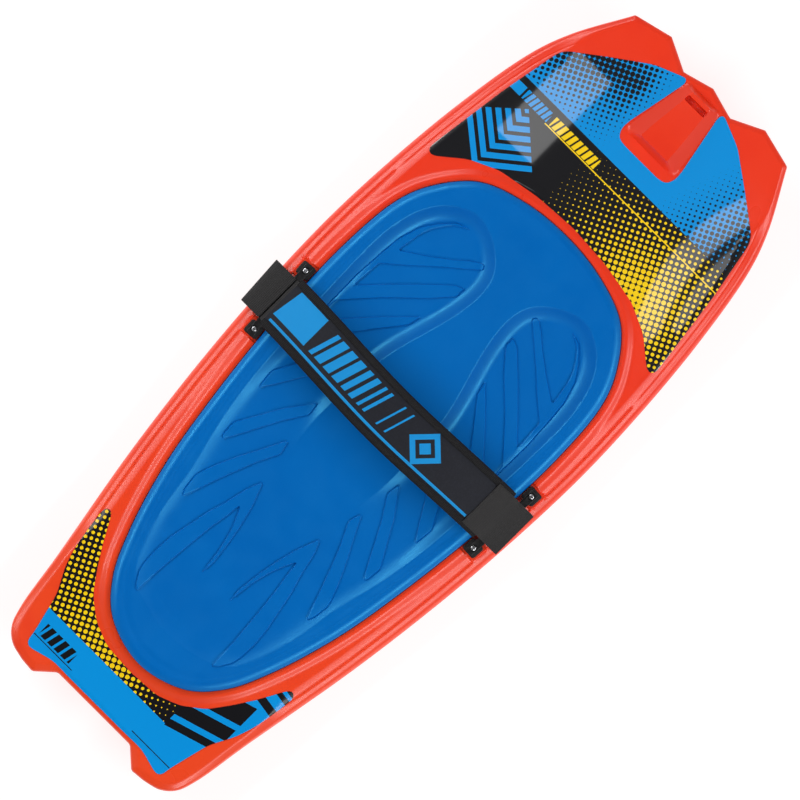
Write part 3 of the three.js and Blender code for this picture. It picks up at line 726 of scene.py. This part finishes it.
def webbing():
    """Woven polyester: fine cross ribs with a slight warp along the strap."""
    rgb = (20, 18, 19)
    f = Finish("webbing", rgb, 0.72, Sheen_Weight=0.08, Sheen_Roughness=0.5)
    rib = ripple(f.y + f.z * 0.6, 2.1)
    warp = ripple(f.x, 1.4)
    f.paint(rib.ramp(0.2, 0.9, 0, 0.6), tuple(c + 16 for c in rgb))
    f.paint(f.noise(7, 3).ramp(0.5, 0.8, 0, 0.4), tuple(max(0, c - 14) for c in rgb))
    f.bump(rib, 0.35)
    return f.bump(warp, 0.15).material


def sleeve_fabric():
    """Knitted neoprene face with a printed stripe, blocks and dashes."""
    f = Finish("sleeve_fabric", (20, 22, 32), 0.7, Specular_IOR_Level=0.3, Sheen_Weight=0.03)
    f.paint(f.noise(3, 3).ramp(0.45, 0.7, 0, 0.35), (31, 35, 47))
    bow = f.y.math("ABSOLUTE").ramp(0, BAR_Y, STRAP_BOW, 0)
    x = f.x - bow
    printed = (0, 146, 218)
    f.paint(x.between(-48, -44) * f.y.between(-178, 213), printed)
    corner = f.y.below(x * -0.16 + 209)
    f.paint(x.between(-37, 13) * f.y.above(152) * corner, printed)
    slide = f.y + (x + 15) * 0.3
    bands = [(132, 7), (117, 13), (99, 13), (81, 13), (64, 9), (49, 9), (34, 5), (22, 5), (-4, 3), (-20, 3)]
    for middle, width in bands:
        f.paint(slide.between(middle - width / 2, middle + width / 2) * x.between(-37, 9), printed)
    mark = (x + 15).math("ABSOLUTE") + (f.y + 71).math("ABSOLUTE")
    f.paint(mark.between(19, 30).either(mark.below(11)), printed)
    f.bump(ripple(f.x + f.y, 1.5) * ripple(f.x - f.y, 1.5), 0.18)
    f.bump(f.noise(22, 2), 0.8)
    return f.material


def binding_tape():
    """Ribbed edge tape."""
    f = Finish("binding_tape", (9, 9, 12), 0.66, Specular_IOR_Level=0.25)
    rib = ripple(f.y, 2.4)
    f.paint(rib.ramp(0.4, 1, 0, 0.7), (20, 19, 23))
    return f.bump(rib, 0.5).material


def looped(name, rgb, size):
    """Hook or pile tape: a dense field of tiny tufts."""
    f = Finish(name, rgb, 0.9, Sheen_Weight=0.4)
    tuft = f.noise(size, 1)
    f.paint(tuft.ramp(0.45, 0.65, 0, 0.6), tuple(c + 26 for c in rgb))
    return f.bump(tuft, 0.7).material


def bracket_plastic():
    """Satin moulded nylon with a few scuffs."""
    f = Finish("bracket_plastic", (17, 17, 19), 0.42, Specular_IOR_Level=0.5)
    f.paint(f.noise(6, 3).ramp(0.5, 0.8, 0, 0.35), (34, 34, 37))
    f.rough(f.noise(3, 3).ramp(0.3, 0.7, 0.34, 0.5))
    return f.bump(f.noise(0.6, 2), 0.05).material


def metal(name, rgb, roughness):
    """Bare metal with faint stains and an uneven polish."""
    f = Finish(name, rgb, roughness, Metallic=1.0)
    f.paint(f.noise(1.5, 3).ramp(0.5, 0.8, 0, 0.4), tuple(int(c * 0.72) for c in rgb))
    f.rough(f.noise(0.8, 3).ramp(0.3, 0.7, roughness, roughness + 0.15))
    return f.bump(f.noise(0.5, 2), 0.02).material


def cell_foam():
    """Pale closed-cell foam."""
    f = Finish("cell_foam", (226, 216, 190), 0.9)
    f.paint(f.noise(3, 3).ramp(0.4, 0.7, 0, 0.5), (196, 184, 152))
    return f.bump(f.noise(2, 3), 0.5).material


orange = moulded_plastic("deck_plastic", (244, 57, 26), (232, 41, 24))
orange_hull = moulded_plastic("hull_plastic", (241, 54, 26), (227, 38, 24))
black_plastic = bracket_plastic()
web_black = webbing()


# ---------------------------------------------------------------- board
def make_deck():
    """The deck shell: rails, collar, bracket seats, tow hook and the pad's recess."""
    cos, sin = math.cos(BAR_ANGLE), math.sin(BAR_ANGLE)
    turn = np.array([(cos, sin), (-sin, cos)])
    square = np.array([(-1, -1), (1, -1), (1, 1), (-1, 1)])
    seats = []
    for side in (-1, 1):
        for end in (-1, 1):
            box = square * SEAT_HALF + (end * SCREW_PITCH / 2, 0)
            seats.append((box @ turn + (BAR_X, BAR_Y)) * (1, side))
    seats = [spaced(rounded(seat, 3), 3) for seat in seats]
    # A grid fills the open areas, and rings of points follow every edge.
    free = hexagons(BOARD, 6, 33)
    free = clear_of(free, PAD, -21, 4)
    free = free[depth_in(PAD, free) < 0]
    hook = hexagons(spaced(HOOK_BASE, 6), 4, 1.5)
    hook = hook[distance(HOOK_CREST, hook) > 1.5]
    hook = hook[np.abs(depth_in(SLOT, hook)) > 1]
    free = free[depth_in(HOOK_BASE, free) < -3]
    for seat in seats:
        free = free[depth_in(seat, free) < -3]
    floor = hexagons(PAD, 26, 12)
    parts = [
        free, hook, floor,
        rings(BOARD, RAIL_RINGS, 4),
        rings(PAD, LIP_RINGS, 4.5),
        *[rings(seat, SEAT_RINGS, 3) for seat in seats],
        rings(SLOT, SLOT_RINGS, 2.5),
    ]
    loops = [BOARD, PAD, spaced(HOOK_BASE, 3), spaced(HOOK_CREST, 3), spaced(SLOT, 2.5), *seats]
    xy, triangles = triangulated(loops, parts, steep_edge=True)
    recess = smooth(0.05, 1.1, depth_in(PAD, xy))
    rail = distance(BOARD, xy)
    seam = seam_z(xy[:, 0]) + GAP / 2
    top = deck_z(xy) * (1 - recess) + floor_z(xy[:, 0]) * recess
    top = np.where(rail < 1e-3, seam, top)
    bottom = np.where(recess > 0, floor_z(xy[:, 0]) - WALL, top - WALL)
    bottom = np.where(rail < 40, np.maximum(bottom, seam), bottom)
    under_hook = seam_z(xy[:, 0]) + deck_rise(xy[:, 0]) - WALL
    bottom = np.where(depth_in(HOOK_BASE, xy) > 0, under_hook, bottom)
    bottom = np.minimum(bottom, top)
    obj = solid("deck_moulding", xy, triangles, top, bottom, sharp=34)
    return finish_piece(obj, "board", "deck_plastic", orange, "deck_shell")


def make_hull():
    """The hull shell: a flat running surface, rocker and rounded chines."""
    free = hexagons(BOARD, 14, 52)
    xy, triangles = triangulated([BOARD], [free, rings(BOARD, CHINE_RINGS, 4)], steep_edge=True)
    x = xy[:, 0]
    rail = distance(BOARD, xy)
    seam = seam_z(x) - GAP / 2
    inset = np.clip(rail / 45, 0, 1)
    outer = seam - (seam - bottom_z(x)) * np.sqrt(1 - (1 - inset) ** 2)
    rib = np.maximum(0, 1 - (np.abs(np.abs(xy[:, 1]) - 120) / 30) ** 2)
    window = smooth(-560, -470, x) * (1 - smooth(300, 420, x))
    outer = outer + 2.0 * rib * window * smooth(45, 60, rail)
    inner = np.minimum(outer + WALL, seam)
    obj = solid("hull_moulding", xy, triangles, inner, outer, sharp=34)
    return finish_piece(obj, "board", "hull_plastic", orange_hull, "hull_shell")


def make_pad():
    """The knee pad: rolled rim, valley, two knee wells and the grip ribs."""
    edge = spaced(rings(PAD, (1.0,), 4), 4)
    free = hexagons(edge, 6, 29)
    free = clear_of(free, WELLS, -2, 28)
    wells = rings(WELLS, WELL_RINGS, 4.5)
    rim = rings(edge, RIM_RINGS, 4.5)
    rim = rim[np.abs(distance(WELLS, rim)) > 1.2]
    wells = wells[depth_in(edge, wells) > 27.5]
    loose = np.vstack([free, wells])
    for rib in RIBS:
        near = (np.abs(loose - rib.mean(0)) < np.ptp(rib, axis=0) / 2 + 6).all(1)
        close = np.zeros(len(loose), bool)
        close[near] = np.abs(depth_in(rib, loose[near]) - 0.3) < 3.7
        loose = loose[~close]
    crests = [rings(rib, (RIB_CREST,), 2) for rib in RIBS]
    beside = [rings(rib, RIB_RINGS, 2) for rib in RIBS]
    xy, triangles = triangulated([edge, WELLS, *RIBS, *crests], [loose, rim, *beside])
    obj = solid("knee_pad_foam", xy, triangles, pad_z(xy), floor_z(xy[:, 0]) + GAP, sharp=60)
    finish_piece(obj, "board", "pad_foam", pad_foam(), "knee_pad")
    return obj


def make_film(name, outline, material, node):
    """A thin printed film that lies on the deck's surface."""
    outline = spaced(outline, 3)
    edge = rings(outline, FILM_RINGS, 3)
    xy, triangles = triangulated([outline], [hexagons(outline, 5, 11), edge])
    deck = deck_z(xy)
    obj = solid(name, xy, triangles, deck + FILM_LIFT + FILM, deck + FILM_LIFT, sharp=60)
    return finish_piece(obj, "board", "decal_film", material, node)


def make_bracket(side):
    """A strap bracket with every long edge eased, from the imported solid's own shape."""
    name = "left" if side > 0 else "right"
    node = f"{name}_strap_bracket"
    obj = bpy.data.objects.new(f"{name}_bracket_moulding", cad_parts[node].data.copy())
    bpy.context.collection.objects.link(obj)
    bm = bmesh.new()
    bm.from_mesh(obj.data)
    bmesh.ops.remove_doubles(bm, verts=bm.verts, dist=1e-6)
    bmesh.ops.dissolve_limit(bm, angle_limit=0.02, verts=bm.verts, edges=bm.edges)
    sharp = [e for e in bm.edges if len(e.link_faces) == 2 and e.calc_face_angle(0) > 0.9]
    bmesh.ops.bevel(
        bm, geom=sharp, offset=0.7 * MM, segments=2, profile=0.6, affect="EDGES",
        clamp_overlap=True,
    )
    bm.to_mesh(obj.data)
    bm.free()
    obj.data.shade_smooth()
    obj.data.set_sharp_from_angle(angle=math.radians(35))
    return finish_piece(obj, "board", "bracket_plastic", black_plastic, node)


def make_screw(side, end):
    """A pan-head screw: domed head, cross recess and plain shank."""
    name = f"{'left' if side > 0 else 'right'}_{'front' if end > 0 else 'rear'}"
    reach = end * SCREW_PITCH / 2
    x = BAR_X + reach * math.cos(BAR_ANGLE)
    y = side * (BAR_Y + reach * math.sin(BAR_ANGLE))
    head, shank, length = 4.4, 2.35, 18
    crown, under = 2.2, TAB_TOP - 2.3
    turns = 48
    radii = (0.3, 0.6, 0.9, 1.3, 1.7, 2.1, 2.5, 2.9, 3.3, 3.7, 4.1, 4.35, head)
    verts, faces = [(0, 0, under + 0.6)], []
    for r in radii:
        dome = under + 0.8 + crown * math.sqrt(max(0, 1 - (r / head) ** 2.6))
        for k in range(turns):
            angle = 2 * math.pi * k / turns
            px, py = r * math.cos(angle), r * math.sin(angle)
            slot = min(abs(px), abs(py))
            cross = (1 - smooth(0.35, 0.75, slot)) * (1 - smooth(2.1, 2.7, r))
            verts.append((px, py, dome - 1.5 * float(cross)))
    for r, z in ((head, under), (shank, under), (shank, under - length)):
        verts += [
            (r * math.cos(2 * math.pi * k / turns), r * math.sin(2 * math.pi * k / turns), z)
            for k in range(turns)
        ]
    rows = len(radii) + 3
    for k in range(turns):
        after = (k + 1) % turns
        faces.append((0, 1 + k, 1 + after))
        for row in range(rows - 1):
            a, b = 1 + row * turns, 1 + (row + 1) * turns
            faces.append((a + k, b + k, b + after, a + after))
    faces.append([1 + (rows - 1) * turns + k for k in range(turns)])
    verts = np.array(verts) + (x, y, 0)
    obj = mesh_object(f"screw_head_{name}", verts, faces, sharp=35, merge=1e-7)
    return finish_piece(obj, "board", "screw_steel", screw_steel, f"screw_{name}")


# ---------------------------------------------------------------- strap
def arch(start, end, steps, rise=0.0):
    """Points (y, z) on the strap's arch, raised along its normal."""
    y = np.linspace(start, end, steps + 1)
    z = ARCH_CENTRE_Z + np.sqrt(ARCH_RADIUS**2 - y**2)
    grow = 1 + rise / ARCH_RADIUS
    return np.column_stack([y * grow, ARCH_CENTRE_Z + (z - ARCH_CENTRE_Z) * grow])


def curve(points):
    """A smooth open line through points (y, z)."""
    return spaced(catmull(points), 1.6, closed=False)


def swept(name, line, section, skew=0.0):
    """A band along a line of (y, z), with a closed section of (x, rise) points."""
    line = np.asarray(line, float)
    section = np.asarray(section, float)
    along = np.gradient(line, axis=0)
    along /= np.hypot(*along.T)[:, None]
    facing = math.copysign(1, line[0, 0] - line[-1, 0])
    up = np.column_stack([along[:, 1], -along[:, 0]]) * facing
    turn = skew * math.tan(BAR_ANGLE) * smooth(0, 0.4, np.linspace(0, 1, len(line)))
    bow = STRAP_BOW * (1 - smooth(0, BAR_Y, np.abs(line[:, 0])))
    x = STRAP_X + bow[:, None] + section[:, 0]
    y = line[:, :1] + up[:, :1] * section[:, 1] + turn[:, None] * (x - BAR_X)
    z = line[:, 1:] + up[:, 1:] * section[:, 1]
    n, m = x.shape
    verts = np.stack([x, y, z], axis=2).reshape(-1, 3)
    faces = []
    for k in range(n - 1):
        for j in range(m):
            a, b = k * m + j, k * m + (j + 1) % m
            faces.append((a, b, b + m, a + m))
    faces.append(list(range(m)))
    faces.append([(n - 1) * m + j for j in range(m)])
    return mesh_object(name, verts, faces, sharp=50)


def ribbon(name, line, width, low, high, skew=0.0):
    """A flat band with eased edges, between two rises over a line."""
    half, edge = width / 2, (high - low) * 0.3
    across = np.linspace(-half + edge, half - edge, 9)
    section = [(x, low) for x in across] + [(half, low + edge), (half, high - edge)]
    section += [(x, high) for x in across[::-1]] + [(-half, high - edge), (-half, low + edge)]
    return swept(name, line, section, skew)


def padded_section():
    """The sleeve's face and foam: crowned between the two bindings."""
    half, under, edge, crown = SLEEVE_WIDTH / 2, -0.6, 3.4, 1.6
    across = np.linspace(-half, half, 41)
    share = np.clip(1 - (np.abs(across) / 33) ** 6, 0, 1)
    top = edge + crown * share
    return [(x, under) for x in across[::5]] + list(zip(across[::-1], top[::-1]))


def make_sleeve():
    """The strap's padded sleeve: the printed face over its foam, and the lining."""
    line = arch(SLEEVE_LEFT, SLEEVE_RIGHT, 150)
    cover = swept("sleeve_padding", line, padded_section())
    finish_piece(cover, "strap", "sleeve_fabric", sleeve_fabric(), "sleeve_cover", "sleeve_foam")
    lining = ribbon("sleeve_underside", line, SLEEVE_WIDTH, *LINING)
    knit = looped("sleeve_lining", (24, 26, 33), 0.8)
    finish_piece(lining, "strap", "sleeve_fabric", knit, "sleeve_lining")


def make_binding(end, name, node, material):
    """Tape folded over an edge of the sleeve, with a stitched flange on each face."""
    outer = [(32.6, 4.55), (33.1, 5.05), (36, 5.15), (40, 5.1), (42.3, 4.2), (43.5, 2.2), (43.8, 0)]
    inner = [(32.6, 4.3), (36, 4.15), (40.0, 3.9), (41.4, 3.0), (42.2, 1.6), (42.4, 0)]
    below = [(x, -z) for x, z in outer[-2::-1]]
    under = [(x, -z - 0.25) for x, z in inner[:-1]]
    section = [(end * x, z) for x, z in outer + below + under + inner[::-1]]
    obj = swept(name, arch(SLEEVE_LEFT, SLEEVE_RIGHT, 150), section)
    return finish_piece(obj, "strap", "binding_tape", material, node)


def make_webbing():
    """The webbing: core, both loops, pull handle and closure end, with the hook and pile tape."""
    bare = arch(224.6, SLEEVE_RIGHT + 3, 120)
    core = ribbon("strap_core_webbing", bare, WEB_WIDTH, *CORE)
    finish_piece(core, "strap", "webbing", web_black, "strap_webbing")

    anchor = ribbon("anchor_webbing", curve([
        (226.2, 60.8), (236, 57.2), (248, 54), (258, 51.2), (263.4, 47.3), (259, 43.6), (248, 42.9),
        (239, 45.2), (231, 48), (218, 48), (213.6, 50.2), (213.2, 55.4), (215.6, 58.8), (220.6, 59.6),
    ]), WEB_WIDTH, -WEB / 2, WEB / 2, 1)
    finish_piece(anchor, "board", "webbing", web_black, "anchor_loop")

    loop = ribbon("closure_webbing", curve([
        (-214, 62.8), (-218, 59.6), (-223, 57.6), (-229, 56.6), (-233.6, 53.8), (-233.6, 50.4),
        (-229.5, 48.3), (-223, 48), (-217, 48.1), (-213.4, 50.2), (-212.9, 55.5), (-212, 60.2),
    ]), WEB_WIDTH, -WEB / 2, WEB / 2, -1)
    finish_piece(loop, "board", "webbing", web_black, "closure_loop")

    line = np.vstack([
        arch(-178, -206, 12, PULL_RISE), curve([(-218, 73), (-230, 67.5), (-240, 63.6), (-247.4, 61.2)]),
    ])
    pull = ribbon("pull_handle", spaced(line, 2, closed=False), WEB_WIDTH, -1, 1)
    finish_piece(pull, "strap", "webbing", web_black, "pull_tab")

    line = np.vstack([
        arch(-112, -188, 30, TAB_RISE), curve([(-190.5, 73), (-200, 69), (-206, 66.7), (-211.3, 64.7)]),
    ])
    line = spaced(line, 2, closed=False)
    tab = ribbon("closure_webbing_end", line, WEB_WIDTH, -WEB / 2, WEB / 2)
    finish_piece(tab, "closure", "webbing", web_black, "closure_tab")

    hook = ribbon("hook_tape", arch(-118, -200, 40), WEB_WIDTH - 6, *HOOK_TAPE)
    finish_piece(hook, "strap", "hook_tape", looped("hook_tape", (20, 20, 23), 1.2), "hook_patch")
    pile = ribbon("pile_tape", arch(-116, -186, 40), WEB_WIDTH - 6, *PILE_TAPE)
    finish_piece(pile, "closure", "pile_tape", looped("pile_tape", (26, 26, 30), 2.0), "pile_patch")


make_deck()
make_hull()
make_pad()
make_film("nose_print", NOSE_DECAL, nose_film(), "nose_decal")
make_film("tail_print", TAIL_DECAL, tail_film(), "tail_decal")
screw_steel = metal("screw_steel", (205, 206, 210), 0.22)
for side in (1, -1):
    make_bracket(side)
    for end in (1, -1):
        make_screw(side, end)
make_sleeve()
tape = binding_tape()
make_binding(1, "binding_front", "sleeve_binding_front", tape)
make_binding(-1, "binding_rear", "sleeve_binding_rear", tape)
make_webbing()

# The CAD nodes that stay: hidden inside, but each with its own finish.
brass = metal("insert_brass", (190, 152, 72), 0.3)
for node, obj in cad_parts.items():
    if node == "foam_core":
        obj.data.materials.clear()
        obj.data.materials.append(cell_foam())
    elif node.startswith("insert_"):
        obj.data.materials.clear()
        obj.data.materials.append(brass)


# ---------------------------------------------------------------- stage, light, camera
def make_stage():
    """A grey floor that glows, so it looks white and picks up little of the board's colour."""
    f = Finish("floor", (150, 150, 150), 0.8, Emission_Color=(1, 1, 1, 1), Emission_Strength=0.78)
    f.paint(f.noise(400).ramp(0.4, 0.7, 0, 0.3), (148, 149, 150))
    reach, z = 6000, -1
    corners = [(-reach, -reach, z), (reach, -reach, z), (reach, reach, z), (-reach, reach, z)]
    floor = mesh_object("floor", corners, [(0, 1, 2, 3)], smooth_faces=False)
    floor.data.materials.append(f.material)


def make_light(name, location, target, size, watts, turn=0):
    """A rectangular softbox that faces a point."""
    data = bpy.data.lights.new(name, "AREA")
    data.shape = "RECTANGLE"
    data.size, data.size_y = size
    data.energy = watts
    obj = bpy.data.objects.new(name, data)
    obj.location = location
    away_from = Vector(location) - Vector(target)
    aim = away_from.to_track_quat("Z", "Y")
    obj.rotation_euler = (aim @ Quaternion((0, 0, 1), math.radians(turn))).to_euler()
    bpy.context.collection.objects.link(obj)


def make_world():
    """A soft studio: pale round the horizon and darker overhead, so flat films stay dark."""
    world = bpy.data.worlds.new("studio")
    world.use_nodes = True
    tree = world.node_tree
    place = tree.nodes.new("ShaderNodeTexCoord").outputs["Generated"]
    split = tree.nodes.new("ShaderNodeSeparateXYZ")
    tree.links.new(place, split.inputs[0])
    strength = Field(tree, split.outputs["Z"]).ramp(0.3, 0.8, 0.6, 0.12)
    tree.links.new(strength.socket, tree.nodes["Background"].inputs["Strength"])
    tree.nodes["Background"].inputs["Color"].default_value = (1, 1, 1, 1)
    bpy.context.scene.world = world


make_stage()
make_world()
make_light("left_softbox", (0, 1.75, 1.6), (0, 0, 0), (2.8, 0.45), 34)
make_light("right_softbox", (0, -1.75, 1.6), (0, 0, 0), (2.8, 0.45), 34)
# Small strips overhead glance off the glossy nose film.
make_light("left_strip", (0.185, 0.176, 2), (0.185, 0.176, 0), (0.13, 0.086), 0.117)
make_light("right_strip", (0.105, -0.195, 2), (0.105, -0.195, 0), (0.26, 0.05), 0.14, 8)
make_light("edge_strip", (0.16, -0.246, 2), (0.16, -0.246, 0), (0.24, 0.03), 0.06, 8)

# From straight above, with the nose to the upper right.
camera = bpy.data.cameras.new("camera")
camera.lens = 250
camera.sensor_width = 36
VIEW_WIDTH = 1.1314  # metres across the frame at the deck's level
DECK_LEVEL = 0.045
view = bpy.data.objects.new("camera", camera)
view.location = (0.0033, 0.0023, DECK_LEVEL + VIEW_WIDTH * camera.lens / camera.sensor_width)
view.rotation_euler = (0, 0, math.radians(-45))
bpy.context.collection.objects.link(view)
bpy.context.scene.camera = view
bpy.context.scene.view_settings.view_transform = "Standard"
